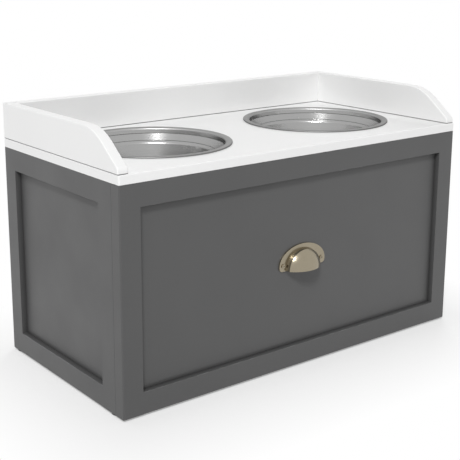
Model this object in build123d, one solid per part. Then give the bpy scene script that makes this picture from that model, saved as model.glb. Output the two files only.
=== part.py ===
from build123d import *
import math
import os

# Elevated dog feeder: a framed cabinet with a pull-out drawer, a guarded top board and two lift-out bowls.
# Millimetres, +Z up, front towards -Y. The origin is the centre of the overall footprint, on the floor.

# ---- Bowls and the room that they are given ----
bowl_rim_radius = 111.0
bowl_rim_width = 7.4
bowl_front_gap = 39.0
bowl_side_gap = 22.0
bowl_middle_gap = 82.0
bowl_sheet = 1.0
bowl_bead_size = 2.0
bowl_bead_rounding = 0.9
bowl_hole_clearance = 2.5
bowl_mouth_rounding = 2.0
bowl_collar_lean = 3.3
bowl_collar_drop = 7.4
bowl_step_lean = 0.2
bowl_step_drop = 0.8
bowl_slope_width = 9.6
bowl_slope_fall = 8.0
bowl_shoulder_width = 3.2
bowl_shoulder_fall = 2.8
bowl_shoulder_rounding = 5.0
bowl_wall_taper = 10.6
bowl_depth = 60.0
bowl_base_rounding = 16.0

# ---- Cabinet ----
body_height = 300.0
bottom_thickness = 12.0
stretcher_thickness = 18.0
stretcher_setback = 3.0
back_thickness = 6.0
back_inset = 1.4
rebate_width = 10.0
rebate_gap = 0.4

# ---- Framed sides and drawer front ----
frame_thickness = 18.0
frame_face = 30.0
panel_recess = 8.0
panel_gap = 0.1
tongue_thickness = 4.8
groove_depth = 6.0
groove_clearance = 0.1
tongue_end_gap = 0.5
corner_radius = 2.0
seam_radius = 0.3

# ---- Glides ----
glide_height = 3.0
glide_edge_gap = 1.0
glide_rebate_gap = 4.0
glide_pin_radius = 1.5
glide_pin_length = 10.0
glide_edge_radius = 0.8

# ---- Top board and guards ----
board_thickness = 12.0
board_edge_radius = 1.5
guard_thickness = 15.0
guard_height = 50.0
guard_setback = 2.0
guard_nose_height = 7.6
guard_nose_radius = 8.0
guard_slope_angle = 38.0
guard_shoulder_radius = 75.0
guard_edge_radius = 1.5
guard_joint_gap = 0.1

# ---- Drawer ----
drawer_rear_gap = 24.6
drawer_bowl_gap = 22.0
drawer_wall = 12.0
drawer_bottom_thickness = 4.0
drawer_bottom_rise = 14.0
drawer_groove_depth = 6.0
drawer_gap = 0.5
drawer_top_gap = 0.6
drawer_floor_gap = 9.0

# ---- Runners and rollers ----
runner_thickness = 1.2
runner_side_gap = 1.0
runner_setback = 1.0
runner_overrun = 6.0
track_drop = 2.0
running_gap = 0.3
roller_lift = 0.8
roller_radius = 9.0
roller_width = 6.0
roller_side_room = 2.05
roller_end_gap = 1.0
roller_hub_radius = 4.5
roller_web_recess = 0.8
roller_rim_width = 2.0
pin_radius = 2.0
pin_clearance = 0.08
pin_head_radius = 3.2
pin_head_thickness = 0.7

# ---- Cup pull ----
pull_cup_width = 61.4
pull_cup_height = 29.5
pull_ear_width = 11.3
pull_brow_height = 5.0
pull_drop = 10.0
pull_end_height = 7.0
pull_end_radius = 5.5
pull_flange_thickness = 2.0
pull_draft = 2.1
pull_wall_depth = 8.0
pull_dome_height = 13.0
pull_dome_centre_depth = 18.0
pull_sheet = 1.4
pull_screw_gap = 1.5
pull_screw_rise = 8.0

# ---- Dowels and cam fittings ----
dowel_radius = 3.0
dowel_length = 26.0
dowel_share_in_frame = 11.0
dowel_spacing = 120.0
dowel_clearance = 0.1
dowel_end_gap = 0.5
cam_radius = 6.0
cam_setback = 24.0
cam_cover = 1.0
cam_clearance = 0.15
cam_slot_depth = 1.5
cam_slot_width = 1.2
bolt_radius = 2.5
bolt_in_frame = 9.5

# ---- Screws ----
screw_radius = 1.75
screw_head_radius = 3.4
countersink_depth = 2.2
pan_head_height = 1.2
low_head_height = 0.7
low_head_radius = 2.6
thread_clearance = 0.05
drive_slot_width = 0.7
drive_slot_depth = 0.6
board_screw_cover = 4.0
board_screw_spacing = 185.0
guard_screw_bite = 20.0
guard_screw_end = 30.0
back_screw_length = 16.0
back_screw_rows = 3
panel_screw_cover = 2.0
fixing_spacing_x = 360.0
fixing_spacing_z = 110.0
box_screw_length = 30.0
box_screw_rows = 3
flange_screw_tip_gap = 2.0
pull_screw_head_radius = 3.0
pull_screw_radius = 1.4
pull_screw_cover = 1.5

# ---- Places that follow from the sizes ----
bowl_spacing = 2 * bowl_rim_radius + bowl_middle_gap
cabinet_width = bowl_spacing + 2 * (bowl_rim_radius + bowl_side_gap + guard_thickness)
cabinet_depth = 2 * (bowl_rim_radius + bowl_front_gap)
half_width = cabinet_width / 2
inner_half = half_width - frame_thickness
panel_thickness = frame_thickness - panel_recess
stretcher_width = frame_face - stretcher_setback
glide_radius = frame_thickness / 2 - glide_edge_gap
pull_overhang = pull_wall_depth + pull_dome_height - panel_recess
front_face = (pull_overhang - cabinet_depth) / 2
back_face = (pull_overhang + cabinet_depth) / 2
box_front = front_face + frame_thickness
carcass_front = box_front + drawer_gap
back_panel_rear = back_face - back_inset
back_panel_front = back_panel_rear - back_thickness
box_back = back_panel_front - drawer_rear_gap
side_length = back_face - carcass_front
body_bottom = glide_height
body_top = body_bottom + body_height
board_top = body_top + board_thickness
floor_top = body_bottom + bottom_thickness
stretcher_bottom = body_top - stretcher_thickness
bowl_centre_y = (front_face + back_face) / 2
bowl_rim_top = board_top + bowl_bead_size
bowl_mouth_radius = bowl_rim_radius - bowl_rim_width
bowl_hole_radius = bowl_mouth_radius + bowl_hole_clearance
runner_space = roller_width + 2 * (roller_side_room + runner_thickness)
box_half = inner_half - runner_space
box_bottom = floor_top + drawer_floor_gap
box_top = bowl_rim_top - bowl_depth - bowl_sheet - drawer_bowl_gap
drawer_front_height = body_height - drawer_top_gap
track_top = box_bottom - track_drop
flange_under = track_top + running_gap + 2 * roller_radius + roller_lift
roller_x = inner_half - runner_space / 2
front_roller_y = carcass_front + roller_radius + roller_end_gap
front_roller_z = flange_under - running_gap - roller_radius
rear_roller_y = box_back - roller_radius - roller_end_gap
rear_roller_z = track_top + running_gap + roller_radius
runner_start = carcass_front + runner_setback
runner_end = box_back + runner_overrun
runner_screw_pitch = (runner_end - runner_start) / 3
pull_width = pull_cup_width + 2 * pull_ear_width
pull_height = pull_cup_height + pull_brow_height
pull_bottom = body_bottom + drawer_front_height / 2 - pull_drop
pull_face = front_face + panel_recess
back_groove_end = back_face - frame_face + groove_depth
fitting_room = back_panel_front - back_groove_end - 2 * (bolt_radius + dowel_radius)
fitting_gap = fitting_room / 3
front_bolt_y = carcass_front + frame_face - groove_depth - bolt_radius - fitting_gap
back_bolt_y = back_groove_end + bolt_radius + fitting_gap
fitting_pitch = bolt_radius + dowel_radius + fitting_gap

X, Y, Z = (1, 0, 0), (0, 1, 0), (0, 0, 1)
LEFT, FRONT, DOWN = (-1, 0, 0), (0, -1, 0), (0, 0, -1)


# ---- Helpers ----
def block(x0, x1, y0, y1, z0, z1):
    """A box between two corners."""
    centre = ((x0 + x1) / 2, (y0 + y1) / 2, (z0 + z1) / 2)
    return Pos(*centre) * Box(x1 - x0, y1 - y0, z1 - z0)


def rod(start, direction, radius, length):
    """A round bar from start along direction."""
    bar = Cylinder(radius, length, align=(Align.CENTER, Align.CENTER, Align.MIN))
    return Plane(origin=start, z_dir=direction) * bar


def mirrored(shape):
    """The same shape on the other side of the cabinet."""
    return mirror(shape, about=Plane.YZ)


def both_sides(shapes):
    """The shapes and their mirror images."""
    return shapes + [mirrored(shape) for shape in shapes]


def cut_all(piece, cutters):
    """The piece with every cutter taken out of it."""
    for cutter in cutters:
        piece = piece - cutter
    return piece


def screw(start, direction, length, radius=screw_radius, head=screw_head_radius, pan=0.0, grow=0.0):
    """A screw with its head's seat at start, or its bore where grow is the clearance.
    The head is countersunk, or stands proud by the height given as pan."""
    upward = (Align.CENTER, Align.CENTER, Align.MIN)
    downward = (Align.CENTER, Align.CENTER, Align.MAX)
    shank = Cylinder(radius + grow, length, align=upward)
    cap_top = -pan
    if pan:
        cap = Cylinder(head + grow, pan, align=downward)
    else:
        cap = Cone(head + grow, radius + grow, countersink_depth, align=upward)
    body = shank + cap
    if grow == 0.0:
        slot_z = cap_top + drive_slot_depth / 2
        for size in ((head, drive_slot_width), (drive_slot_width, head)):
            body = body - Pos(0, 0, slot_z) * Box(*size, drive_slot_depth)
    return Plane(origin=start, z_dir=direction) * body


def screws(starts, direction, length, **options):
    """One screw at each start."""
    return [screw(start, direction, length, **options) for start in starts]


def bores(starts, direction, length, **options):
    """The bores of the same screws."""
    return screws(starts, direction, length, grow=thread_clearance, **options)


def spread(count, pitch, centre=0.0):
    """Evenly spaced places about a centre."""
    return [centre + (index - (count - 1) / 2) * pitch for index in range(count)]


parts = {}


def save(name, shapes):
    """Keeps one named piece, or a group of like pieces."""
    parts[name] = shapes if isinstance(shapes, list) else [shapes]


# ---- Framed panels, drawn with the outer face at y = 0 and the width along +X ----
tongue_y = panel_recess + (panel_thickness - tongue_thickness) / 2
tongue_reach = groove_depth - tongue_end_gap


def groove_block(x0, x1, z0, z1):
    """The room that a tongue needs."""
    y0 = tongue_y - groove_clearance
    y1 = tongue_y + tongue_thickness + groove_clearance
    return block(x0, x1, y0, y1, z0, z1)


def tongue_block(x0, x1, z0, z1):
    """A tongue on a panel or a rail."""
    return block(x0, x1, tongue_y, tongue_y + tongue_thickness, z0, z1)


def frame_stile(height, radius):
    """An upright with its outer edge at x = 0 and a groove along its inner edge."""
    section = Pos(frame_face / 2, frame_thickness / 2) * Rectangle(frame_face, frame_thickness)
    outer = section.vertices().sort_by_distance((0, 0, 0))[0]
    stile = extrude(fillet(outer, radius), height)
    return stile - groove_block(frame_face - groove_depth, frame_face, 0, height)


def frame_rail(length):
    """A lower rail with its outer edge at z = 0, a groove on top and a stub tenon at each end."""
    rail = block(0, length, 0, frame_thickness, 0, frame_face)
    rail = rail - groove_block(0, length, frame_face - groove_depth, frame_face)
    tenon_top = frame_face - groove_depth
    return rail + tongue_block(-tongue_reach, length + tongue_reach, 0, tenon_top)


def frame_panel(width, height):
    """The sunk panel, flush with the frame inside, with a tongue all round."""
    body = block(panel_gap, width - panel_gap, panel_recess, frame_thickness, panel_gap, height - panel_gap)
    return body + tongue_block(-tongue_reach, width + tongue_reach, -tongue_reach, height + tongue_reach)


def framed_panel(width, height, first_radius, last_radius):
    """Two stiles, two rails and a panel that make one flat framed board."""
    opening_width = width - 2 * frame_face
    opening_height = height - 2 * frame_face
    rail = frame_rail(opening_width)
    last_stile = mirrored(frame_stile(height, last_radius))
    return {
        "first_stile": frame_stile(height, first_radius),
        "last_stile": Pos(width, 0, 0) * last_stile,
        "bottom_rail": Pos(frame_face, 0, 0) * rail,
        "top_rail": Pos(frame_face, 0, height) * mirror(rail, about=Plane.XY),
        "panel": Pos(frame_face, 0, frame_face) * frame_panel(opening_width, opening_height),
    }


# ---- Fastener places ----
def board_end(z, sign_y, bolt_y):
    """The bolt and dowel places at the left end of a stretcher, dowel towards the outside."""
    bolt = (-inner_half, bolt_y, z)
    dowel = (-inner_half, bolt_y + sign_y * fitting_pitch, z)
    return bolt, dowel


floor_z = body_bottom + bottom_thickness / 2
stretcher_z = body_top - stretcher_thickness / 2
floor_middle_y = (carcass_front + back_panel_front) / 2
front_bolt, front_dowel = board_end(stretcher_z, -1, front_bolt_y)
back_bolt, back_dowel = board_end(stretcher_z, 1, back_bolt_y)
floor_bolts = [(-inner_half, y, floor_z) for y in (front_bolt_y, back_bolt_y)]
floor_dowels = [(-inner_half, y, floor_z) for y in spread(2, dowel_spacing, floor_middle_y)]


def dowel(place, grow=0.0, end_gap=0.0):
    """A dowel across the joint between a side and a board, or its bore."""
    start = (place[0] - dowel_share_in_frame - end_gap, place[1], place[2])
    return rod(start, X, dowel_radius + grow, dowel_length + 2 * end_gap)


def dowel_bore(place):
    """The bore of a dowel, a little longer than the dowel."""
    return dowel(place, dowel_clearance, dowel_end_gap)


def cam_bolt(place, grow=0.0):
    """A bolt from the side frame to the cam's centre, or its bore."""
    start = (place[0] - bolt_in_frame, place[1], place[2])
    return rod(start, X, bolt_radius + grow, bolt_in_frame + cam_setback)


def cam_depth(board_thickness_here):
    """How deep a cam sits in the board's underside."""
    return board_thickness_here / 2 + bolt_radius + cam_cover


def cam_lock(place, thickness, grow=0.0):
    """The disc that draws the bolt in, or its bore, let into the board's underside."""
    depth = cam_depth(thickness)
    start = (place[0] + cam_setback, place[1], place[2] - thickness / 2)
    disc = rod(start, Z, cam_radius + grow, depth + grow)
    if grow:
        return disc
    slot = Box(2 * cam_radius, cam_slot_width, 2 * cam_slot_depth)
    return disc - Pos(*start) * slot - cam_bolt(place, cam_clearance)


def end_fittings(bolts, dowels, thickness):
    """The cutters that a board's two ends need."""
    cutters = [cam_bolt(place, thread_clearance) for place in bolts]
    cutters += [cam_lock(place, thickness, cam_clearance) for place in bolts]
    cutters += [dowel_bore(place) for place in dowels]
    return both_sides(cutters)


board_screw_length = stretcher_thickness + board_thickness - board_screw_cover
front_stretcher_y = carcass_front + stretcher_width / 2
back_stretcher_y = back_panel_front - stretcher_width / 2
board_screw_places = [
    (x, y, stretcher_bottom)
    for x in spread(3, board_screw_spacing)
    for y in (front_stretcher_y, back_stretcher_y)
]
guard_screw_length = board_thickness + guard_screw_bite
side_guard_x = half_width - guard_thickness / 2
back_guard_y = back_face - guard_thickness / 2
slope_run = (guard_height - guard_nose_height) / math.tan(math.radians(guard_slope_angle))
first_guard_screw_y = front_face + guard_setback + slope_run
last_guard_screw_y = back_face - guard_screw_end
side_guard_pitch = (last_guard_screw_y - first_guard_screw_y) / 2
side_guard_middle = (first_guard_screw_y + last_guard_screw_y) / 2
back_guard_pitch = half_width - guard_thickness - guard_screw_end
guard_screw_places = [
    (x, y, body_top)
    for x in (-side_guard_x, side_guard_x)
    for y in spread(3, side_guard_pitch, side_guard_middle)
]
guard_screw_places += [(x, back_guard_y, body_top) for x in spread(3, back_guard_pitch)]

stile_screw_x = inner_half + rebate_width / 2
back_rows = spread(back_screw_rows, body_height / (back_screw_rows + 1), body_bottom + body_height / 2)
back_columns = spread(back_screw_rows, 2 * inner_half / (back_screw_rows + 1))
back_screw_places = [(x, back_panel_rear, z) for x in (-stile_screw_x, stile_screw_x) for z in back_rows]
back_screw_places += [(x, back_panel_rear, z) for x in back_columns for z in (floor_z, stretcher_z)]

runner_screw_z = (rear_roller_z + pin_head_radius + flange_under) / 2
runner_screw_length = runner_thickness + panel_thickness - panel_screw_cover
runner_screw_look = {"head": low_head_radius, "pan": low_head_height}
runner_screw_places = [
    (-inner_half + runner_thickness, y, runner_screw_z)
    for y in spread(3, runner_screw_pitch, (runner_start + runner_end) / 2)
]


# ---- Cabinet ----
def left_side():
    """The left framed side, turned so that its outer face looks to -X and its first stile is at the back."""
    pieces = framed_panel(side_length, body_height, corner_radius, seam_radius)
    place = Location((-half_width, back_face, body_bottom), (0, 0, -90))
    side = {name: place * piece for name, piece in pieces.items()}
    rebate_x = -inner_half - rebate_width
    rebate = block(rebate_x, -inner_half, back_panel_front, back_face, body_bottom, body_top)
    cutters = [cam_bolt(spot, thread_clearance) for spot in floor_bolts + [front_bolt, back_bolt]]
    cutters += [dowel_bore(spot) for spot in (front_dowel, back_dowel)]
    back_bores = bores(back_screw_places, FRONT, back_screw_length, pan=pan_head_height)
    side["first_stile"] = cut_all(side["first_stile"] - rebate, cutters + back_bores)
    side["last_stile"] = cut_all(side["last_stile"], cutters)
    runner_bores = bores(runner_screw_places, LEFT, runner_screw_length, **runner_screw_look)
    floor_dowel_bores = [dowel_bore(spot) for spot in floor_dowels]
    side["bottom_rail"] = cut_all(side["bottom_rail"], floor_dowel_bores + runner_bores)
    side["panel"] = cut_all(side["panel"], runner_bores)
    return side


def bottom_board():
    """The cabinet's floor, between the sides."""
    board = block(-inner_half, inner_half, carcass_front, back_panel_front, body_bottom, floor_top)
    cutters = end_fittings(floor_bolts, floor_dowels, bottom_thickness)
    cutters += bores(back_screw_places, FRONT, back_screw_length, pan=pan_head_height)
    return cut_all(board, cutters)


def stretcher(y0, bolt, dowel_place):
    """A bar between the sides that carries the top board."""
    bar = block(-inner_half, inner_half, y0, y0 + stretcher_width, stretcher_bottom, body_top)
    cutters = end_fittings([bolt], [dowel_place], stretcher_thickness)
    cutters += bores(board_screw_places, Z, board_screw_length)
    cutters += bores(back_screw_places, FRONT, back_screw_length, pan=pan_head_height)
    return cut_all(bar, cutters)


def back_panel():
    """The thin back, let into the rear stiles."""
    half = inner_half + rebate_width - rebate_gap
    sheet = block(-half, half, back_panel_front, back_panel_rear, body_bottom, body_top)
    return cut_all(sheet, bores(back_screw_places, FRONT, back_screw_length, pan=pan_head_height))


def glide(x, y):
    """A round foot with a pin that is driven into a stile."""
    foot = rod((x, y, 0), Z, glide_radius, glide_height)
    foot = fillet(foot.edges().sort_by(Axis.Z)[0], glide_edge_radius)
    return foot + rod((x, y, glide_height), Z, glide_pin_radius, glide_pin_length)


def glide_bore(x, y):
    """The bore of a glide's pin."""
    return rod((x, y, glide_height), Z, glide_pin_radius + thread_clearance, glide_pin_length)


# ---- Top ----
def bowl_centres():
    """The two bowls' axes."""
    return [(x, bowl_centre_y) for x in (-bowl_spacing / 2, bowl_spacing / 2)]


def top_board():
    """The board with a round hole for each bowl."""
    board = block(-half_width, half_width, front_face, back_face, body_top, board_top)
    corners = board.edges().filter_by(Axis.Z)
    board = fillet(corners, corner_radius)
    board = fillet(board.faces().sort_by(Axis.Z)[-1].edges(), board_edge_radius)
    holes = [rod((x, y, body_top), Z, bowl_hole_radius, board_thickness) for x, y in bowl_centres()]
    cutters = bores(board_screw_places, Z, board_screw_length)
    cutters += bores(guard_screw_places, Z, guard_screw_length)
    return cut_all(board, holes + cutters)


def side_guard_profile():
    """The left guard's outline in the YZ plane: a round nose, a straight slope and a wide shoulder."""
    start = front_face + guard_setback
    corners = [
        (start, board_top),
        (start, board_top + guard_nose_height),
        (start + slope_run, board_top + guard_height),
        (back_face, board_top + guard_height),
        (back_face, board_top),
    ]
    face = make_face(Plane.YZ * Polyline(*corners, close=True))
    for corner, radius in ((corners[1], guard_nose_radius), (corners[2], guard_shoulder_radius)):
        vertex = face.vertices().sort_by_distance((0, *corner))[0]
        face = fillet(vertex, radius)
    return face


def side_guard():
    """The left guard, with its edges eased."""
    guard = extrude(Pos(-half_width, 0, 0) * side_guard_profile(), guard_thickness, dir=X)
    faces = guard.faces().sort_by(Axis.X)
    edges = faces[0].edges() + faces[-1].edges()
    guard = fillet(edges, guard_edge_radius)
    return cut_all(guard, bores(guard_screw_places, Z, guard_screw_length))


def back_guard():
    """The rear guard, held between the side guards."""
    half = half_width - guard_thickness - guard_joint_gap
    guard = block(-half, half, back_face - guard_thickness, back_face, board_top, board_top + guard_height)
    guard = fillet(guard.edges().filter_by(Axis.X), guard_edge_radius)
    return cut_all(guard, bores(guard_screw_places, Z, guard_screw_length))


# ---- Bowls ----
def bowl_wall_corners():
    """The inner wall from the mouth down to the base, as radius, height and rounding of each corner."""
    radius, height = bowl_mouth_radius, 0.0
    corners = [(radius, height, bowl_mouth_rounding)]
    steps = (
        (bowl_collar_lean, bowl_collar_drop, 0.0),
        (bowl_step_lean, bowl_step_drop, 0.0),
        (bowl_slope_width, bowl_slope_fall, 0.0),
        (bowl_step_lean, bowl_step_drop, 0.0),
        (bowl_shoulder_width, bowl_shoulder_fall, bowl_shoulder_rounding),
    )
    for inward, down, rounding in steps:
        radius, height = radius - inward, height - down
        corners.append((radius, height, rounding))
    corners.append((radius - bowl_wall_taper, -bowl_depth, bowl_base_rounding))
    return corners


def bowl():
    """A spun sheet bowl with a flat rim, a thick bead and two steps, about the Z axis from the rim's top."""
    air = bowl_rim_radius + bowl_mouth_radius
    corners = bowl_wall_corners()
    wall = [(radius, height) for radius, height, _ in reversed(corners)]
    outline = [(0, -bowl_depth), *wall, (air, 0), (air, air), (0, air)]
    space = make_face(Plane.XZ * Polyline(*outline, close=True))
    for radius, height, rounding in corners:
        if rounding:
            vertex = space.vertices().sort_by_distance((radius, 0, height))[0]
            space = fillet(vertex, rounding)
    grown = offset(space, amount=bowl_sheet)
    total = bowl_depth + bowl_sheet
    window = Plane.XZ * Pos(bowl_rim_radius / 2, -total / 2) * Rectangle(bowl_rim_radius, total)
    bead_inside = bowl_rim_radius - bowl_bead_size
    bead_centre = (bowl_rim_radius - bowl_bead_size / 2, -bowl_bead_size / 2)
    bead = Plane.XZ * Pos(*bead_centre) * Rectangle(bowl_bead_size, bowl_bead_size)
    section = (grown - space) & window
    section = section + bead
    bead_corners = ((bowl_rim_radius, 0), (bowl_rim_radius, -bowl_bead_size), (bead_inside, -bowl_bead_size))
    for radius, height in bead_corners:
        vertex = section.vertices().sort_by_distance((radius, 0, height))[0]
        section = fillet(vertex, bowl_bead_rounding)
    return revolve(section, Axis.Z)


# ---- Drawer box ----
drawer_inner_half = box_half - drawer_wall
tray_bottom = box_bottom + drawer_bottom_rise
box_middle_z = (box_bottom + box_top) / 2
box_screw_z = spread(box_screw_rows, (box_top - box_bottom) / (box_screw_rows + 1), box_middle_z)
box_screw_y = (box_front + drawer_wall / 2, box_back - drawer_wall / 2)
box_screw_places = [(-box_half, y, z) for y in box_screw_y for z in box_screw_z]
fixing_length = drawer_wall + panel_thickness - panel_screw_cover
fixing_places = [
    (x, box_front + drawer_wall, z)
    for x in spread(2, fixing_spacing_x)
    for z in spread(2, fixing_spacing_z, box_middle_z)
]
pull_screw_z = pull_bottom + pull_screw_rise
pull_screw_spacing = pull_cup_width + 2 * (pull_screw_head_radius + pull_screw_gap)
pull_screw_places = [
    (x, pull_face - pull_flange_thickness, pull_screw_z) for x in spread(2, pull_screw_spacing)
]
pull_screw_length = pull_flange_thickness + panel_thickness - pull_screw_cover
pull_screw_look = {"radius": pull_screw_radius, "head": pull_screw_head_radius, "pan": pan_head_height}
side_edge_x = -(box_half + drawer_inner_half) / 2
flange_bottom = box_bottom - runner_thickness
flange_screw_length = runner_thickness + drawer_bottom_rise - flange_screw_tip_gap
flange_screw_places = [
    (side_edge_x, y, flange_bottom) for y in spread(3, runner_screw_pitch, (box_front + box_back) / 2)
]


def drawer_bottom():
    """The thin tray bottom, held in grooves all round."""
    reach = drawer_groove_depth - tongue_end_gap
    half = drawer_inner_half + reach
    y0 = box_front + drawer_wall - reach
    y1 = box_back - drawer_wall + reach
    return block(-half, half, y0, y1, tray_bottom, tray_bottom + drawer_bottom_thickness)


def tray_groove():
    """The groove that the tray bottom slides in."""
    half = drawer_inner_half + drawer_groove_depth
    y0 = box_front + drawer_wall - drawer_groove_depth
    y1 = box_back - drawer_wall + drawer_groove_depth
    z0 = tray_bottom - groove_clearance
    return block(-half, half, y0, y1, z0, tray_bottom + drawer_bottom_thickness + groove_clearance)


def drawer_side():
    """The left side of the drawer box."""
    side = block(-box_half, -drawer_inner_half, box_front, box_back, box_bottom, box_top)
    cutters = bores(box_screw_places, X, box_screw_length)
    cutters += bores(flange_screw_places, Z, flange_screw_length, pan=pan_head_height)
    return cut_all(side - tray_groove(), cutters)


def drawer_end(y0):
    """The inner front or the back of the drawer box, between its sides."""
    end = block(-drawer_inner_half, drawer_inner_half, y0, y0 + drawer_wall, box_bottom, box_top)
    cutters = both_sides(bores(box_screw_places, X, box_screw_length))
    cutters += bores(fixing_places, FRONT, fixing_length)
    return cut_all(end - tray_groove(), cutters)


def drawer_face():
    """The framed drawer front, which covers the whole front of the cabinet."""
    pieces = framed_panel(cabinet_width, drawer_front_height, corner_radius, corner_radius)
    place = Pos(-half_width, front_face, body_bottom)
    front = {name: place * piece for name, piece in pieces.items()}
    cutters = bores(fixing_places, FRONT, fixing_length)
    cutters += bores(pull_screw_places, Y, pull_screw_length, **pull_screw_look)
    front["panel"] = cut_all(front["panel"], cutters)
    return front


# ---- Runners ----
web_top = flange_under + 2 * runner_thickness + runner_side_gap


def cabinet_runner():
    """The left C-shaped track, with a stop across its rear end."""
    tip = -(box_half + runner_thickness + runner_side_gap)
    low = track_top - runner_thickness
    web = block(-inner_half, -inner_half + runner_thickness, runner_start, runner_end, low, web_top)
    track = block(-inner_half, tip, runner_start, runner_end, low, track_top)
    hood = block(-inner_half, tip, runner_start, runner_end, web_top - runner_thickness, web_top)
    stop = block(-inner_half, tip, runner_end - runner_thickness, runner_end, low, web_top)
    cutters = bores(runner_screw_places, LEFT, runner_screw_length, **runner_screw_look)
    return cut_all(web + track + hood + stop, cutters)


def drawer_runner():
    """The left Z-shaped rail under the drawer side, with a flange that rides on the cabinet's roller."""
    face = -box_half - runner_thickness
    tip = -inner_half + runner_thickness + runner_side_gap
    flange_top = flange_under + runner_thickness
    shelf = block(face, -drawer_inner_half, runner_start, box_back, flange_bottom, box_bottom)
    web = block(face, -box_half, runner_start, box_back, flange_bottom, flange_top)
    flange = block(tip, -box_half, runner_start, box_back, flange_under, flange_top)
    cutters = bores(flange_screw_places, Z, flange_screw_length, pan=pan_head_height)
    return cut_all(shelf + web + flange, cutters)


def roller(y, z):
    """A nylon wheel with a sunk web on both faces."""
    start = (-roller_x - roller_width / 2, y, z)
    wheel = rod(start, X, roller_radius, roller_width)
    wheel = wheel - rod(start, X, pin_radius + pin_clearance, roller_width)
    for x in (start[0], start[0] + roller_width - roller_web_recess):
        ring = rod((x, y, z), X, roller_radius - roller_rim_width, roller_web_recess)
        ring = ring - rod((x, y, z), X, roller_hub_radius, roller_web_recess)
        wheel = wheel - ring
    return wheel


def roller_pin(web_x, direction, y, z):
    """A pin from a runner's web through a roller, with a head at its far end."""
    far_side = -roller_x + direction * (roller_width / 2 + running_gap)
    axis = (direction, 0, 0)
    shank = rod((web_x, y, z), axis, pin_radius, abs(far_side - web_x))
    return shank + rod((far_side, y, z), axis, pin_head_radius, pin_head_thickness)


# ---- Cup pull ----
def half_ellipse(width, height, y, floor=0.0):
    """An upright ellipse at depth y, kept above a floor that is measured from the pull's lower edge."""
    plane = Plane(origin=(0, y, pull_bottom), x_dir=X, z_dir=FRONT)
    shape = Ellipse(width / 2, height)
    keep = Pos(0, height / 2 + floor / 2) * Rectangle(width, height - floor)
    return plane * (shape & keep)


def pull_body(shrink, floor):
    """The cup's outer form, or its inside where shrink is the sheet's thickness."""
    width, height = pull_cup_width - 2 * shrink, pull_cup_height - shrink
    face_width, face_height = width - 2 * pull_draft, height - pull_draft
    face_y = pull_face - pull_wall_depth
    root = half_ellipse(width, height, pull_face, floor)
    mouth = half_ellipse(face_width, face_height, face_y, floor)
    cup = loft([root, mouth])
    reach = pull_dome_height + pull_dome_centre_depth - shrink
    share = math.sqrt(1 - (pull_dome_centre_depth / reach) ** 2)
    sizes = (face_width / 2 / share, reach, face_height / share)
    dome = Pos(0, face_y + pull_dome_centre_depth, pull_bottom) * scale(Sphere(1.0), by=sizes)
    keep_top = pull_bottom + pull_width
    keep = block(-pull_width, pull_width, face_y - pull_width, face_y, pull_bottom + floor, keep_top)
    return cup + (dome & keep)


def pull_flange():
    """The flat plate round the cup, with a screw hole at each end."""
    plane = Plane(origin=(0, pull_face, pull_bottom), x_dir=X, z_dir=FRONT)
    rise = pull_height - pull_end_height
    arch = Pos(0, pull_end_height) * Ellipse(pull_width / 2, rise)
    strip = Pos(0, pull_end_height / 2) * Rectangle(pull_width, pull_end_height)
    keep = Pos(0, pull_height / 2) * Rectangle(pull_width, pull_height)
    outline = (arch + strip) & keep
    feet = outline.vertices().sort_by(Axis.Y)[:2]
    outline = fillet(feet, pull_end_radius)
    return extrude(plane * outline, pull_flange_thickness)


def cup_pull():
    """A thin cast cup that is open below, on a screwed flange."""
    pull = pull_flange() + pull_body(0.0, 0.0) - pull_body(pull_sheet, -pull_height / 2)
    return cut_all(pull, bores(pull_screw_places, Y, pull_screw_length, **pull_screw_look))


# ---- Assembly ----
def build_cabinet():
    """Everything that stands still."""
    names = {"first_stile": "back_stile", "last_stile": "front_stile"}
    glide_x = half_width - frame_thickness / 2
    front_glide_y = carcass_front + glide_radius + glide_edge_gap
    back_glide_y = back_panel_front - glide_rebate_gap - glide_pin_radius
    glide_y = {"front": front_glide_y, "back": back_glide_y}
    side = left_side()
    side["first_stile"] -= glide_bore(-glide_x, glide_y["back"])
    side["last_stile"] -= glide_bore(-glide_x, glide_y["front"])
    for key, piece in side.items():
        name = names.get(key, key)
        save(f"left_side_{name}", piece)
        save(f"right_side_{name}", mirrored(piece))
    for place, y in glide_y.items():
        save(f"left_{place}_glide", glide(-glide_x, y))
        save(f"right_{place}_glide", glide(glide_x, y))
    save("bottom_board", bottom_board())
    save("front_stretcher", stretcher(carcass_front, front_bolt, front_dowel))
    save("back_stretcher", stretcher(back_panel_front - stretcher_width, back_bolt, back_dowel))
    save("back_panel", back_panel())
    save("top_board", top_board())
    save("left_guard", side_guard())
    save("right_guard", mirrored(side_guard()))
    save("back_guard", back_guard())


def build_cabinet_fasteners():
    """The dowels, cam fittings and screws of the cabinet."""
    stretcher_bolts = [front_bolt, back_bolt]
    save("carcass_dowels", both_sides([dowel(spot) for spot in floor_dowels + [front_dowel, back_dowel]]))
    save("cam_bolts", both_sides([cam_bolt(spot) for spot in floor_bolts + stretcher_bolts]))
    locks = [cam_lock(spot, bottom_thickness) for spot in floor_bolts]
    locks += [cam_lock(spot, stretcher_thickness) for spot in stretcher_bolts]
    save("cam_locks", both_sides(locks))
    save("top_board_screws", screws(board_screw_places, Z, board_screw_length))
    save("guard_screws", screws(guard_screw_places, Z, guard_screw_length))
    save("back_panel_screws", screws(back_screw_places, FRONT, back_screw_length, pan=pan_head_height))


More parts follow.
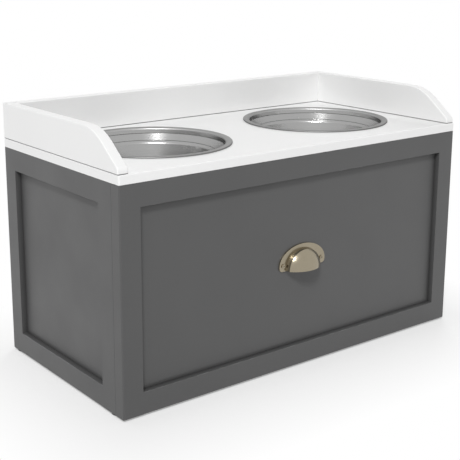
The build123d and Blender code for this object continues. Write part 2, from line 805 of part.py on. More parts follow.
def build_drawer():
    """Everything that slides out."""
    names = {"first_stile": "left_stile", "last_stile": "right_stile"}
    for key, piece in drawer_face().items():
        save(f"drawer_front_{names.get(key, key)}", piece)
    save("drawer_left_side", drawer_side())
    save("drawer_right_side", mirrored(drawer_side()))
    save("drawer_inner_front", drawer_end(box_front))
    save("drawer_back", drawer_end(box_back - drawer_wall))
    save("drawer_bottom", drawer_bottom())
    save("drawer_box_screws", both_sides(screws(box_screw_places, X, box_screw_length)))
    save("drawer_front_screws", screws(fixing_places, FRONT, fixing_length))
    save("cup_pull", cup_pull())
    save("pull_screws", screws(pull_screw_places, Y, pull_screw_length, **pull_screw_look))


def build_runners():
    """The drawer's runners, rollers and pins on both sides."""
    pieces = {
        "cabinet_runner": cabinet_runner(),
        "drawer_runner": drawer_runner(),
        "front_roller": roller(front_roller_y, front_roller_z),
        "rear_roller": roller(rear_roller_y, rear_roller_z),
    }
    for name, piece in pieces.items():
        save(f"left_{name}", piece)
        save(f"right_{name}", mirrored(piece))
    front_pin = roller_pin(-inner_half + runner_thickness, 1, front_roller_y, front_roller_z)
    rear_pin = roller_pin(-box_half - runner_thickness, -1, rear_roller_y, rear_roller_z)
    save("front_roller_pins", both_sides([front_pin]))
    save("rear_roller_pins", both_sides([rear_pin]))
    track_screws = screws(runner_screw_places, LEFT, runner_screw_length, **runner_screw_look)
    flange_screws = screws(flange_screw_places, Z, flange_screw_length, pan=pan_head_height)
    save("cabinet_runner_screws", both_sides(track_screws))
    save("drawer_runner_screws", both_sides(flange_screws))


def build_bowls():
    """The two bowls, each in its own hole."""
    shape = bowl()
    for name, (x, y) in zip(("left_bowl", "right_bowl"), bowl_centres()):
        save(name, Pos(x, y, bowl_rim_top) * shape)


os.makedirs("parts", exist_ok=True)
build_cabinet()
build_cabinet_fasteners()
build_drawer()
build_runners()
build_bowls()
for part_name, shapes in parts.items():
    solids = [solid for shape in shapes for solid in shape.solids()]
    export_step(Compound(children=solids) if len(solids) > 1 else solids[0], f"parts/{part_name}.step")
print(len(parts), "nodes")
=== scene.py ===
import math
from collections import namedtuple

import bmesh
import bpy
from mathutils import Matrix, Vector


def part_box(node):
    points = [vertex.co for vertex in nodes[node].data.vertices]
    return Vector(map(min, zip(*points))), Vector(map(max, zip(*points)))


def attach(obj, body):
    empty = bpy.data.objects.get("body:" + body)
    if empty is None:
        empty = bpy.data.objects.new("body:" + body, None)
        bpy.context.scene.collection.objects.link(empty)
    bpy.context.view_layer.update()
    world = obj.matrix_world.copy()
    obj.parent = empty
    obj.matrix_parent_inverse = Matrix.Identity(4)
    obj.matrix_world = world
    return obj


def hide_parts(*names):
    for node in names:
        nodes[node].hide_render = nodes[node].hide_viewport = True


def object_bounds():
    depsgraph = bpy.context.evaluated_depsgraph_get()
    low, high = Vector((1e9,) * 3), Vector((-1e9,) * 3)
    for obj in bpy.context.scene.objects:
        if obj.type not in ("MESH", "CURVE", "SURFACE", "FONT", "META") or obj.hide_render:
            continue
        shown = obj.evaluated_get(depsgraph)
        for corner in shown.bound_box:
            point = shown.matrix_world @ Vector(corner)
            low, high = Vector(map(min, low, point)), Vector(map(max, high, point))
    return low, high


# Elevated dog feeder: painted cabinet, guarded white top, two steel bowls and a drawer with a cup pull.
# Metres, +Z up, front towards -Y, as the CAD frame has them.

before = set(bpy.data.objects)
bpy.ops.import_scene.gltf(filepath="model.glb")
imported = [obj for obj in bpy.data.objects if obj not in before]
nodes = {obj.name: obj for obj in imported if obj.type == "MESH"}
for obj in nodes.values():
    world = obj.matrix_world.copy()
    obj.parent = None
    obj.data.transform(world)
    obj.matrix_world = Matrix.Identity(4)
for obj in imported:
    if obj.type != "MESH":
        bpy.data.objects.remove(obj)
cad_low, cad_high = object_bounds()

# ---- Sizes that the pieces share ----
rim_radius = 0.111
rim_width = 0.0074
mouth_radius = rim_radius - rim_width
bowl_depth = 0.06
sheet = 0.001
bowl_low, bowl_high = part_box("left_bowl")
rim_top = bowl_high.z
bowl_offset = rim_radius - bowl_high.x
bowl_centre_y = (bowl_low.y + bowl_high.y) / 2
board_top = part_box("top_board")[1].z
front_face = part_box("drawer_front_left_stile")[0].y
side_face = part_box("left_side_front_stile")[0].x

# The line where a guard stands on the board is darkened with painted shade: the height that is all dark,
# and where the painted shade has faded out.
joint_shade_full = 0.0007
joint_shade_gone = 0.0013
joint_painted_shade = (0.06, 0.06, 0.06)

# The corner between a sunk panel and its frame is darkened with painted shade: how far the painted shade
# spreads, and how strong it is at most.
painted_shade_reach = 0.006
painted_shade_strength = 0.6
painted_shade_colour = (0.02, 0.02, 0.02)

# The bowls' rims: painted shade at the rolled outer edge starts and is whole this far in from the outer
# edge, and the satin starts and is whole this far below the top.
rim_shadow_start = 0.0012
rim_shadow_whole = 0.0004
rim_shadow_strength = 0.45
satin_start = 0.003
satin_whole = 0.001
satin_roughness = 0.2

# The opening of a framed panel: the axis across it, the distance of the panel's face from the middle along
# that axis, and two corners of the opening.
Opening = namedtuple("Opening", ("axis", "level", "low", "high"))


def opening(frame_name, first_stile, last_stile, axis):
    """The opening between two stiles and the rails of a frame."""
    low = Vector(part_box(f"{frame_name}_{first_stile}")[1])
    high = Vector(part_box(f"{frame_name}_{last_stile}")[0])
    low.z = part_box(f"{frame_name}_bottom_rail")[1].z
    high.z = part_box(f"{frame_name}_top_rail")[0].z
    return Opening(axis, -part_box(f"{frame_name}_panel")[0][axis], low, high)


front_opening = opening("drawer_front", "left_stile", "right_stile", 1)
side_opening = opening("left_side", "front_stile", "back_stile", 0)


# ---- Finishes ----
class Finish:
    """One finish under way: a shader, and helpers that add the nodes it needs."""

    def __init__(self, name, colour, roughness, metallic=0.0):
        self.material = bpy.data.materials.new(name)
        self.material.use_nodes = True
        self.material.diffuse_color = (*colour, 1.0)
        self.tree = self.material.node_tree
        self.shader = self.tree.nodes["Principled BSDF"]
        self.set("Base Color", (*colour, 1.0))
        self.set("Roughness", roughness)
        self.set("Metallic", metallic)
        self.place = self.tree.nodes.new("ShaderNodeTexCoord").outputs["Object"]

    def set(self, socket, value):
        """A value that is the same all over, on the shader's own socket."""
        self.shader.inputs[socket].default_value = value

    def give(self, socket, source):
        """A pattern for one of the shader's sockets."""
        self.tree.links.new(source, self.shader.inputs[socket])

    def add(self, kind, *sources, **settings):
        """A node whose inputs are filled in order with sockets or plain values."""
        made = self.tree.nodes.new(kind)
        for name, value in settings.items():
            setattr(made, name, value)
        for socket, source in zip(made.inputs, sources):
            if isinstance(source, bpy.types.NodeSocket):
                self.tree.links.new(source, socket)
            elif source is not None:
                socket.default_value = source
        return made

    def maths(self, operation, *sources):
        """One sum."""
        return self.add("ShaderNodeMath", *sources, operation=operation).outputs[0]

    def parts(self, source=None):
        """The X, Y and Z of a direction, or of the place if none is given."""
        return self.add("ShaderNodeSeparateXYZ", source or self.place).outputs

    def facing(self):
        """The surface's direction."""
        return self.tree.nodes.new("ShaderNodeNewGeometry").outputs["Normal"]

    def attribute(self, name):
        """A value that the mesh carries."""
        made = self.tree.nodes.new("ShaderNodeAttribute")
        made.attribute_name = name
        return made.outputs["Fac"]

    def stretched(self, x, y, z):
        """The place, multiplied along each axis."""
        scaled = self.add("ShaderNodeVectorMath", self.place, (x, y, z), operation="MULTIPLY")
        return scaled.outputs[0]

    def noise(self, scale, detail=2.0, source=None):
        """Soft noise with so many patches to the metre."""
        made = self.tree.nodes.new("ShaderNodeTexNoise")
        made.inputs["Scale"].default_value = scale
        made.inputs["Detail"].default_value = detail
        self.tree.links.new(source or self.place, made.inputs["Vector"])
        return made.outputs["Fac"]

    def cells(self, scale):
        """The distance to scattered points, so many to the metre."""
        made = self.tree.nodes.new("ShaderNodeTexVoronoi")
        made.inputs["Scale"].default_value = scale
        self.tree.links.new(self.place, made.inputs["Vector"])
        return made.outputs["Distance"]

    def ranged(self, source, low, high, start=0.25, end=0.75):
        """The source between start and end, carried to low and high."""
        return self.add("ShaderNodeMapRange", source, start, end, low, high).outputs[0]

    def weighed(self, first, share, second):
        """Two patterns laid over each other, of which the first has this share."""
        shares = [self.maths("MULTIPLY", first, share), self.maths("MULTIPLY", second, 1 - share)]
        return self.maths("ADD", *shares)

    def diagonal(self, first, second):
        """The distance that two distances at right angles make."""
        squares = [self.maths("MULTIPLY", side, side) for side in (first, second)]
        return self.maths("SQRT", self.maths("ADD", *squares))

    def beyond(self, coordinate, reach):
        """How far a coordinate is past reach on either side, and 0 within it."""
        past = self.maths("SUBTRACT", self.maths("ABSOLUTE", coordinate), reach)
        return self.maths("MAXIMUM", past, 0.0)

    def mixed(self, share, first, second):
        """A colour between two colours or colour sockets."""
        made = self.tree.nodes.new("ShaderNodeMix")
        made.data_type = "RGBA"
        self.tree.links.new(share, made.inputs[0])
        # The node has a set of sockets for each kind of value. These are the ones for colours.
        for socket, colour in zip(made.inputs[6:8], (first, second)):
            if isinstance(colour, bpy.types.NodeSocket):
                self.tree.links.new(colour, socket)
            else:
                socket.default_value = (*colour, 1.0)
        return made.outputs[2]

    def toned(self, source, first, second, start=0.25, end=0.75):
        """A colour that a pattern carries from the first to the second."""
        return self.mixed(self.ranged(source, 0.0, 1.0, start, end), first, second)

    def painted_corner_shade(self, sunk):
        """Painted shade: 1 on the line where a sunk panel meets its frame, and 0 from painted_shade_reach
        away.
        """
        ways = self.parts()
        borders = []
        for way in range(3):
            if way != sunk.axis:
                borders.append(self.maths("SUBTRACT", ways[way], sunk.low[way]))
                borders.append(self.maths("SUBTRACT", sunk.high[way], ways[way]))
        nearest = borders[0]
        for border in borders[1:]:
            nearest = self.maths("MINIMUM", nearest, border)
        proud = self.maths("SUBTRACT", self.maths("ABSOLUTE", ways[sunk.axis]), sunk.level)
        return self.ranged(self.diagonal(nearest, proud), 1.0, 0.0, start=0.0, end=painted_shade_reach)

    def relief(self, *layers):
        """Bump from layers of (height socket, height in metres), one on the other."""
        below = None
        for height, distance in layers:
            made = self.tree.nodes.new("ShaderNodeBump")
            made.inputs["Strength"].default_value = 1.0
            made.inputs["Distance"].default_value = distance
            self.tree.links.new(height, made.inputs["Height"])
            if below is not None:
                self.tree.links.new(below, made.inputs["Normal"])
            below = made.outputs["Normal"]
        self.give("Normal", below)


def lacquer(name, dark, light, rubbed, smooth, rough, peel, joint=None, sunk=None):
    """Sprayed satin lacquer: a slow drift in tone, orange peel, dust nibs and rubbed arrises.
    joint is the level of a butt joint, whose open line gets painted shade. sunk is the opening of a sunk
    panel, whose corners get painted shade."""
    finish = Finish(name, light, (smooth + rough) / 2)
    drift = finish.noise(4.0, 3.0)
    pigment = finish.noise(260.0, 2.0)
    colour = finish.toned(finish.weighed(drift, 0.75, pigment), dark, light, start=0.3, end=0.7)
    patches = finish.ranged(finish.noise(55.0, 4.0), 0.0, 1.0, start=0.48, end=0.7)
    rub = finish.maths("MULTIPLY", finish.attribute("arris"), patches)
    colour = finish.mixed(rub, colour, rubbed)
    # Painted shade along the open line where a guard stands on the board.
    if joint is not None:
        height = finish.parts()["Z"]
        line = finish.ranged(height, 1.0, 0.0, start=joint + joint_shade_full, end=joint + joint_shade_gone)
        colour = finish.mixed(line, colour, joint_painted_shade)
    # Painted shade in the corners of the sunk panel.
    if sunk is not None:
        shaded = finish.maths("MULTIPLY", finish.painted_corner_shade(sunk), painted_shade_strength)
        colour = finish.mixed(shaded, colour, painted_shade_colour)
    finish.give("Base Color", colour)
    handled = finish.ranged(finish.noise(14.0, 5.0), smooth, rough, start=0.3, end=0.7)
    polish = finish.maths("MULTIPLY", rub, 0.08)
    finish.give("Roughness", finish.maths("SUBTRACT", handled, polish))
    nibs = finish.ranged(finish.cells(140.0), 1.0, 0.0, start=0.0, end=0.045)
    finish.relief((finish.noise(430.0, 2.0), peel), (finish.noise(36.0, 1.0), peel * 3), (nibs, peel * 0.6))
    return finish.material


def grey_lacquer(name, sunk=None):
    """The cabinet's dark grey."""
    dark, light, rubbed = (0.075, 0.0751, 0.0755), (0.082, 0.0821, 0.0825), (0.15, 0.15, 0.15)
    return lacquer(name, dark, light, rubbed, smooth=0.38, rough=0.5, peel=0.00001, sunk=sunk)


def white_lacquer(name, joint=None):
    """The top's warm white."""
    dark, light, rubbed = (0.83, 0.83, 0.827), (0.86, 0.86, 0.858), (0.8, 0.795, 0.78)
    return lacquer(name, dark, light, rubbed, smooth=0.3, rough=0.42, peel=0.000008, joint=joint)


def spun_steel():
    """Steel spun on a lathe: fine lines round each bowl's own axis, faint use marks, a satin rim and
    painted shade at the rim's outer edge."""
    dark, light, rim_shadow_colour = (0.355, 0.355, 0.352), (0.385, 0.385, 0.382), (0.05, 0.05, 0.05)
    finish = Finish("spun_steel", (0.37, 0.37, 0.367), 0.24, metallic=1.0)
    finish.set("Anisotropic", 0.35)
    finish.set("Specular Tint", (0.6, 0.6, 0.6, 1.0))
    grain = finish.tree.nodes.new("ShaderNodeTangent")
    grain.direction_type = "UV_MAP"
    grain.uv_map = "lathe"
    finish.give("Tangent", grain.outputs[0])
    x, y, z = finish.parts()
    across = finish.maths("SUBTRACT", finish.maths("ABSOLUTE", x), bowl_offset)
    along = finish.maths("SUBTRACT", y, bowl_centre_y)
    radius = finish.diagonal(across, along)
    lathe = finish.add("ShaderNodeCombineXYZ", radius, z, 0.0).outputs[0]
    fine = finish.noise(1900.0, 2.0, lathe)
    bands = finish.noise(150.0, 2.0, lathe)
    steel = finish.toned(finish.weighed(fine, 0.3, bands), dark, light)
    # Painted shade at the rim's rolled outer edge, where it meets the board.
    start, end = rim_radius - rim_shadow_start, rim_radius - rim_shadow_whole
    rim_shadow_share = finish.ranged(radius, 0.0, rim_shadow_strength, start, end)
    finish.give("Base Color", finish.mixed(rim_shadow_share, steel, rim_shadow_colour))
    clouds = finish.ranged(finish.noise(20.0, 4.0), -0.02, 0.03)
    satin = finish.ranged(z, 0.0, satin_roughness, start=rim_top - satin_start, end=rim_top - satin_whole)
    scuffs = finish.ranged(finish.noise(80.0, 6.0), 0.0, 1.0, start=0.6, end=0.8)
    roughness = finish.ranged(bands, 0.2, 0.25)
    for more in (clouds, satin, finish.maths("MULTIPLY", scuffs, 0.05)):
        roughness = finish.maths("ADD", roughness, more)
    finish.give("Roughness", roughness)
    finish.relief((fine, 0.0000005), (bands, 0.000003))
    return finish.material


def satin_nickel():
    """Warm nickel plate on a casting, with fine brushing and clouds in its tone and gloss."""
    dark, light = (0.3, 0.263, 0.195), (0.34, 0.3, 0.226)
    finish = Finish("satin_nickel_plate", (0.32, 0.281, 0.21), 0.22, metallic=1.0)
    strokes = finish.noise(1500.0, 3.0, finish.stretched(0.05, 1.0, 1.0))
    clouds = finish.noise(70.0, 4.0)
    finish.give("Base Color", finish.toned(finish.weighed(strokes, 0.4, clouds), dark, light))
    finish.give("Roughness", finish.ranged(clouds, 0.17, 0.25))
    finish.relief((strokes, 0.000003), (finish.noise(210.0, 2.0), 0.000012))
    return finish.material


def bright_zinc():
    """Zinc plate with the cloudy yellow and blue of passivation."""
    yellow, blue = (0.6, 0.57, 0.49), (0.58, 0.62, 0.67)
    finish = Finish("bright_zinc", (0.6, 0.61, 0.62), 0.3, metallic=1.0)
    clouds = finish.noise(320.0, 4.0)
    grit = finish.noise(2400.0, 2.0)
    finish.give("Base Color", finish.toned(clouds, yellow, blue))
    finish.give("Roughness", finish.ranged(grit, 0.22, 0.42))
    finish.relief((grit, 0.000006), (clouds, 0.00001))
    return finish.material


def white_epoxy():
    """Powder coat on rolled steel: a fine pebble, and grey where the wheels have run."""
    dark, light, worn = (0.7, 0.7, 0.69), (0.76, 0.76, 0.75), (0.5, 0.5, 0.5)
    finish = Finish("white_epoxy", (0.74, 0.74, 0.73), 0.34)
    pebble = finish.noise(1100.0, 2.0)
    clouds = finish.noise(40.0, 3.0)
    streaks = finish.noise(170.0, 4.0, finish.stretched(1.0, 0.08, 1.0))
    wear = finish.ranged(streaks, 0.0, 0.5, start=0.58, end=0.75)
    finish.give("Base Color", finish.mixed(wear, finish.toned(clouds, dark, light), worn))
    finish.give("Roughness", finish.ranged(clouds, 0.28, 0.42))
    finish.relief((pebble, 0.00003), (finish.noise(260.0, 2.0), 0.00004))
    return finish.material


def natural_nylon():
    """Moulded nylon: milky, with a fine flow pattern and a slightly dull skin."""
    dark, light = (0.74, 0.72, 0.64), (0.81, 0.8, 0.74)
    finish = Finish("natural_nylon", (0.78, 0.765, 0.7), 0.38)
    finish.set("Subsurface Weight", 0.15)
    finish.set("Subsurface Radius", (0.004, 0.003, 0.002))
    finish.set("Subsurface Scale", 0.5)
    flow = finish.noise(380.0, 4.0)
    finish.give("Base Color", finish.toned(flow, dark, light))
    finish.give("Roughness", finish.ranged(flow, 0.3, 0.46))
    finish.relief((flow, 0.00002), (finish.noise(1800.0, 1.0), 0.000006))
    return finish.material


def black_polyethylene():
    """Black moulded glides, dusty and scuffed grey."""
    black, grey = (0.035, 0.035, 0.037), (0.09, 0.09, 0.088)
    finish = Finish("black_polyethylene", (0.04, 0.04, 0.042), 0.5)
    scuffs = finish.ranged(finish.noise(700.0, 5.0), 0.0, 1.0, start=0.5, end=0.8)
    finish.give("Base Color", finish.mixed(scuffs, black, grey))
    finish.give("Roughness", finish.ranged(scuffs, 0.42, 0.62, start=0.0, end=1.0))
    finish.relief((finish.noise(1300.0, 3.0), 0.00004))
    return finish.material


def white_foil():
    """Printed white foil on particle board: a pressed pore that runs level along it, and a soft sheen."""
    dark, light, pore_shade = (0.74, 0.735, 0.715), (0.78, 0.775, 0.755), (0.66, 0.65, 0.62)
    finish = Finish("white_foil", (0.76, 0.755, 0.735), 0.46)
    pores = finish.noise(900.0, 3.0, finish.stretched(0.06, 0.06, 1.0))
    clouds = finish.noise(9.0, 3.0)
    marks = finish.maths("MULTIPLY", finish.ranged(pores, 1.0, 0.0, start=0.3, end=0.48), 0.4)
    finish.give("Base Color", finish.mixed(marks, finish.toned(clouds, dark, light), pore_shade))
    finish.give("Roughness", finish.ranged(clouds, 0.4, 0.52))
    finish.relief((pores, 0.00003), (finish.noise(1400.0, 1.0), 0.000008))
    return finish.material


def hardboard():
    """Lacquered fibreboard: smooth and pale, and brown fibre on the sawn edges at its two sides."""
    dark, light, fleck_shade = (0.57, 0.555, 0.52), (0.64, 0.63, 0.6), (0.46, 0.42, 0.36)
    deep_fibre, pale_fibre = (0.2, 0.125, 0.07), (0.34, 0.23, 0.14)
    finish = Finish("hardboard", (0.6, 0.585, 0.55), 0.5)
    fibre = finish.noise(1100.0, 5.0, finish.stretched(1.0, 1.0, 0.35))
    clouds = finish.noise(16.0, 4.0)
    flecks = finish.ranged(fibre, 0.35, 0.0, start=0.3, end=0.5)
    face = finish.mixed(flecks, finish.toned(clouds, dark, light), fleck_shade)
    sawn = finish.toned(fibre, deep_fibre, pale_fibre)
    sideways = finish.maths("ABSOLUTE", finish.parts(finish.facing())["X"])
    edge = finish.ranged(sideways, 0.0, 1.0, start=0.6, end=0.7)
    finish.give("Base Color", finish.mixed(edge, face, sawn))
    finish.give("Roughness", finish.ranged(fibre, 0.42, 0.62))
    finish.relief((fibre, 0.00003), (clouds, 0.0001))
    return finish.material


def beech():
    """Turned beech: long grain with short dark flecks."""
    dark, light, fleck_shade = (0.44, 0.28, 0.15), (0.58, 0.41, 0.25), (0.27, 0.15, 0.07)
    finish = Finish("turned_beech", (0.52, 0.35, 0.2), 0.55)
    grain = finish.noise(420.0, 4.0, finish.stretched(0.08, 1.0, 1.0))
    rays = finish.noise(1400.0, 3.0, finish.stretched(0.2, 1.0, 1.0))
    flecks = finish.ranged(rays, 0.0, 0.7, start=0.6, end=0.72)
    finish.give("Base Color", finish.mixed(flecks, finish.toned(grain, dark, light), fleck_shade))
    finish.give("Roughness", finish.ranged(grain, 0.48, 0.62))
    finish.relief((grain, 0.00005))
    return finish.material


finishes = {
    "grey_paint": grey_lacquer("grey_lacquer"),
    "white_paint": white_lacquer("white_lacquer"),
    "stainless_steel": spun_steel(),
    "satin_nickel": satin_nickel(),
    "zinc_plating": bright_zinc(),
    "runner_paint": white_epoxy(),
    "nylon": natural_nylon(),
    "glide_plastic": black_polyethylene(),
    "white_foil": white_foil(),
    "hardboard": hardboard(),
    "beech": beech(),
}
# Lacquers that also carry painted shade: in the corners of sunk panels, and along the guards' joint line.
front_lacquer_painted_shade = grey_lacquer("grey_front_lacquer", sunk=front_opening)
side_lacquer_painted_shade = grey_lacquer("grey_side_lacquer", sunk=side_opening)
guard_lacquer_painted_shade = white_lacquer("white_guard_lacquer", joint=board_top)


def finish_of(name, slot_name):
    """The finish for a slot of a node: the slot's own, or a lacquer that also paints shade along the node's
    joint line or into its panel's corners."""
    if name.endswith("_guard"):
        return guard_lacquer_painted_shade
    if slot_name == "grey_paint" and name.startswith("drawer_front"):
        return front_lacquer_painted_shade
    if slot_name == "grey_paint" and "_side_" in name:
        return side_lacquer_painted_shade
    return finishes[slot_name]


for name, piece in nodes.items():
    for holder in piece.material_slots:
        holder.material = finish_of(name, holder.material.name.split(".")[0])


# ---- Making a piece ----
# Faces that meet at less than this are shaded as one.
crease = math.radians(40)


def finished(name, bm, body, node):
    """Turns a bmesh into a smooth piece that rides on a body and stands for a CAD node."""
    for face in bm.faces:
        face.smooth = True
    for edge in bm.edges:
        edge.smooth = edge.smooth and (not edge.is_manifold or edge.calc_face_angle() < crease)
    mesh = bpy.data.meshes.new(name)
    bm.to_mesh(mesh)
    bm.free()
    if "custom_normal" in mesh.attributes:
        mesh.attributes.remove(mesh.attributes["custom_normal"])
    mesh.materials.clear()
    mesh.materials.append(nodes[node].material_slots[0].material)
    piece = bpy.data.objects.new(name, mesh)
    bpy.context.scene.collection.objects.link(piece)
    weighted = piece.modifiers.new("even_shading", "WEIGHTED_NORMAL")
    weighted.keep_sharp = True
    weighted.weight = 100
    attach(piece, body)
    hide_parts(node)
    return piece


# ---- Bowls ----
arc_segments = 6
turn_segments = 192
edge_segments = 14
edge_radius = 0.001
seam_gap = 0.000002
on_the_axis = 0.0001
map_repeats_per_metre = 5.0

# The inner face of a bowl from the middle of its base out to the rim: the radius, the height from the rim's
# top and the rounding of each corner. Each of the two ledges has a hair-line lip.
bowl_wall = [
    (0.0, -bowl_depth, 0.0),
    (mouth_radius - 0.0271, -bowl_depth, 0.016),
    (mouth_radius - 0.0165, -0.0198, 0.005),
    (mouth_radius - 0.0135, -0.017, 0.0002),
    (mouth_radius - 0.0128, -0.0166, 0.0001),
    (mouth_radius - 0.0131, -0.0162, 0.0001),
    (mouth_radius - 0.0037, -0.0082, 0.0002),
    (mouth_radius - 0.0029, -0.0078, 0.0001),
    (mouth_radius - 0.0032, -0.0074, 0.0001),
    (mouth_radius - 0.0018, 0.0, 0.003),
    (rim_radius - 0.003, 0.0, 0.0),
    (rim_radius - edge_radius, 0.0, 0.0),
]


def rounded(bm, corners):
    """A wire through (radius, height, rounding) corners in the XZ plane, each corner turned into an arc."""
    places = [Vector((radius, 0.0, height)) for radius, height, rounding in corners]
    points = [bm.verts.new(place) for place in places]
    for first, second in zip(points, points[1:]):
        bm.edges.new((first, second))
    for index, here in enumerate(places):
        rounding = corners[index][2]
        if rounding:
            angle = (places[index - 1] - here).angle(places[index + 1] - here)
            bmesh.ops.bevel(
                bm, geom=[points[index]], offset=rounding / math.tan(angle / 2), offset_type="OFFSET",
                segments=arc_segments, profile=0.5, affect="VERTICES", clamp_overlap=False, material=-1,
            )


def spun(bm):
    """Turns the wire once round the Z axis and closes it."""
    bmesh.ops.spin(
        bm, geom=bm.verts[:] + bm.edges[:], cent=(0, 0, 0), axis=(0, 0, 1),
        angle=math.tau, steps=turn_segments, use_merge=True, use_duplicate=False,
    )
    bmesh.ops.remove_doubles(bm, verts=bm.verts[:], dist=seam_gap)


def rolled_edge():
    """The roll of sheet at the rim's outer edge, as a mesh."""
    bm = bmesh.new()
    upright = Matrix.Rotation(math.pi / 2, 3, "X")
    bmesh.ops.create_circle(bm, segments=edge_segments, radius=edge_radius, cap_ends=False)
    bmesh.ops.rotate(bm, verts=bm.verts[:], cent=(0, 0, 0), matrix=upright)
    bmesh.ops.translate(bm, verts=bm.verts[:], vec=(rim_radius - edge_radius, 0, -edge_radius))
    spun(bm)
    bmesh.ops.recalc_face_normals(bm, faces=bm.faces[:])
    mesh = bpy.data.meshes.new("rolled_edge")
    bm.to_mesh(mesh)
    bm.free()
    return mesh


def lathe_map(bm):
    """A map whose first direction runs round the Z axis, so that the metal's grain follows the lathe. A
    corner on the axis takes the angle of its face."""
    layer = bm.loops.layers.uv.new("lathe")
    for face in bm.faces:
        middle = face.calc_center_median()
        turn = math.atan2(middle.y, middle.x)
        for loop in face.loops:
            spot = loop.vert.co
            radius = math.hypot(spot.x, spot.y)
            angle = math.atan2(spot.y, spot.x) if radius > on_the_axis else turn
            angle += math.tau * round((turn - angle) / math.tau)
            loop[layer].uv = (angle / math.tau, (radius - spot.z) * map_repeats_per_metre)


def steel_bowl(name, x):
    """A bowl spun from sheet, with two stepped ledges and a rolled edge."""
    bm = bmesh.new()
    rounded(bm, bowl_wall)
    spun(bm)
    bmesh.ops.recalc_face_normals(bm, faces=bm.faces[:])
    if sum(face.normal.z * face.calc_area() for face in bm.faces) < 0:
        bmesh.ops.reverse_faces(bm, faces=bm.faces[:])
    bmesh.ops.solidify(bm, geom=bm.faces[:], thickness=sheet)
    edge = rolled_edge()
    bm.from_mesh(edge)
    bpy.data.meshes.remove(edge)
    lathe_map(bm)
    bmesh.ops.translate(bm, verts=bm.verts[:], vec=(x, bowl_centre_y, rim_top))
    return finished(f"spun_{name}", bm, name, name)


steel_bowl("left_bowl", -bowl_offset)
steel_bowl("right_bowl", bowl_offset)


# ---- Painted frames ----
arris_round = 0.0006
arris_segments = 3
arris_angle = math.radians(60)
flat_angle = math.radians(0.5)
same_place = 0.00001
level_within = 0.001
past_opening = 0.0001


def on_outer_face(edge, axis, face):
    """Whether both ends of an edge are in the plane of the outer face."""
    return all(abs(vert.co[axis] - face) < 2 * same_place for vert in edge.verts)


def sharp_outside(edge):
    """Whether an edge is an outward corner."""
    return edge.is_manifold and edge.is_convex and edge.calc_face_angle() > arris_angle


def free_of_joints(edge, sunk):
    """Whether an edge is level, or upright at the height of the opening, where no neighbour meets it."""
    first, second = (vert.co for vert in edge.verts)
    if abs(first.z - second.z) < level_within:
        return True
    return sunk.low.z - past_opening < (first.z + second.z) / 2 < sunk.high.z + past_opening


def eased_frame(name, body, face, sunk):
    """A painted frame piece with its free arrises eased, and its joints with its neighbours left tight.
    face is the place of its outer face along the axis across the sunk panel."""
    bm = bmesh.new()
    bm.from_mesh(nodes[name].data)
    bmesh.ops.remove_doubles(bm, verts=bm.verts[:], dist=same_place)
    bmesh.ops.dissolve_limit(bm, angle_limit=flat_angle, verts=bm.verts[:], edges=bm.edges[:])
    for height in (sunk.low.z, sunk.high.z):
        bmesh.ops.bisect_plane(
            bm, geom=bm.verts[:] + bm.edges[:] + bm.faces[:], dist=same_place,
            plane_co=(0, 0, height), plane_no=(0, 0, 1),
        )
    arrises = []
    for edge in bm.edges:
        if on_outer_face(edge, sunk.axis, face) and sharp_outside(edge) and free_of_joints(edge, sunk):
            arrises.append(edge)
    worn = bm.loops.layers.float.new("arris")
    eased = bmesh.ops.bevel(
        bm, geom=arrises, offset=arris_round, offset_type="OFFSET", segments=arris_segments,
        profile=0.5, affect="EDGES", clamp_overlap=True, material=-1,
    )
    rounds = set(eased["faces"])
    for round_face in rounds:
        for loop in round_face.loops:
            loop[worn] = 1.0
    for edge in bm.edges:
        edge.smooth = sum(side in rounds for side in edge.link_faces) != 1
    bmesh.ops.recalc_face_normals(bm, faces=bm.faces[:])
    return finished(f"painted_{name}", bm, body, name)


for part in ("left_stile", "right_stile", "top_rail", "bottom_rail"):
    eased_frame(f"drawer_front_{part}", "drawer", front_face, front_opening)
for side, face in (("left", side_face), ("right", -side_face)):
    for part in ("front_stile", "back_stile", "top_rail", "bottom_rail"):
        eased_frame(f"{side}_side_{part}", "cabinet", face, side_opening)


# ---- Floor ----
floor_reach = 12.0
shadow_reach = 0.16
least_white = 0.3


def seen(tree):
    """1 for a ray from the eye, straight or by way of metal or glass, and 0 for one that carries light."""
    light_path = tree.nodes.new("ShaderNodeLightPath").outputs
    reached = light_path["Is Camera Ray"]
    for ray in ("Is Glossy Ray", "Is Transmission Ray"):
        either = tree.nodes.new("ShaderNodeMath")
        either.operation = "MAXIMUM"
        tree.links.new(reached, either.inputs[0])
        tree.links.new(light_path[ray], either.inputs[1])
        reached = either.outputs[0]
    return reached


def studio_floor():
    """A pale floor that is white to the eye away from the cabinet and keeps the shadow near it."""
    bm = bmesh.new()
    bmesh.ops.create_grid(bm, x_segments=1, y_segments=1, size=floor_reach)
    mesh = bpy.data.meshes.new("studio_floor")
    bm.to_mesh(mesh)
    bm.free()
    finish = Finish("pale_floor", (0.93, 0.93, 0.93), 0.9)
    finish.set("Specular IOR Level", 0.0)
    ways = finish.parts()
    away = finish.diagonal(finish.beyond(ways["X"], cad_high.x), finish.beyond(ways["Y"], cad_high.y))
    whiteness = finish.ranged(away, least_white, 1.0, 0.0, shadow_reach)
    share = finish.maths("MULTIPLY", seen(finish.tree), whiteness)
    glow = finish.add("ShaderNodeEmission", (1.0, 1.0, 1.0, 1.0), 1.0).outputs[0]
    blend = finish.add("ShaderNodeMixShader", share, finish.shader.outputs[0], glow).outputs[0]
    finish.tree.links.new(blend, finish.tree.nodes["Material Output"].inputs["Surface"])
    mesh.materials.append(finish.material)
    floor = bpy.data.objects.new("studio_floor", mesh)
    bpy.context.scene.collection.objects.link(floor)


studio_floor()


# ---- Studio light ----
in_the_cabinet = (0.0, 0.0, 0.2)
on_the_board = (0.0, 0.0, 0.3)


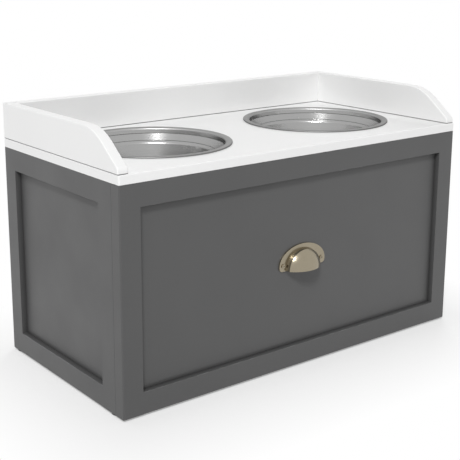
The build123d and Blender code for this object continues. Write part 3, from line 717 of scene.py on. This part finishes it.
def studio_world(level):
    """Even light of this level from all round, where the eye and metal see white."""
    world = bpy.data.worlds.new("studio")
    world.use_nodes = True
    bpy.context.scene.world = world
    tree = world.node_tree
    backdrop = tree.nodes["Background"]
    backdrop.inputs["Color"].default_value = (1.0, 1.0, 1.0, 1.0)
    strength = tree.nodes.new("ShaderNodeMapRange")
    strength.inputs["To Min"].default_value = level
    strength.inputs["To Max"].default_value = 1.0
    tree.links.new(seen(tree), strength.inputs["Value"])
    tree.links.new(strength.outputs[0], backdrop.inputs["Strength"])


def soft_box(name, place, target, size, watts, mirrored):
    """A square soft box aimed at a point, which metal mirrors or doesn't."""
    lamp = bpy.data.lights.new(name, "AREA")
    lamp.shape = "SQUARE"
    lamp.size = size
    lamp.energy = watts
    holder = bpy.data.objects.new(name, lamp)
    holder.location = place
    holder.visible_glossy = mirrored
    holder.rotation_euler = (Vector(target) - Vector(place)).to_track_quat("-Z", "Y").to_euler()
    bpy.context.scene.collection.objects.link(holder)


studio_world(level=0.34)
soft_box("overhead_soft_box", (-0.49, 0.3, 6.3), on_the_board, size=0.45, watts=8.0, mirrored=True)
soft_box("key_soft_box", (-3.95, -4.1, 5.85), in_the_cabinet, size=1.6, watts=455.0, mirrored=True)
soft_box("back_soft_box", (2.7, 2.3, 2.2), in_the_cabinet, size=1.5, watts=32.0, mirrored=False)


# ---- Camera ----
def camera(place, degrees_down, degrees_right, lens_mm, shift):
    """Looks from a place, turned right from +Y. The shift is in widths of the sensor."""
    lens = bpy.data.cameras.new("camera")
    lens.sensor_width = 36.0
    lens.lens = lens_mm
    lens.shift_x, lens.shift_y = shift
    holder = bpy.data.objects.new("camera", lens)
    holder.location = place
    holder.rotation_euler = (math.radians(90 - degrees_down), 0.0, math.radians(-degrees_right))
    bpy.context.scene.collection.objects.link(holder)
    bpy.context.scene.camera = holder


front_left_above = (-0.9096, -1.1237, 0.5774)
camera(front_left_above, degrees_down=13.318, degrees_right=37.161, lens_mm=78.858, shift=(0.045, -0.1))
bpy.context.scene.view_settings.view_transform = "Standard"
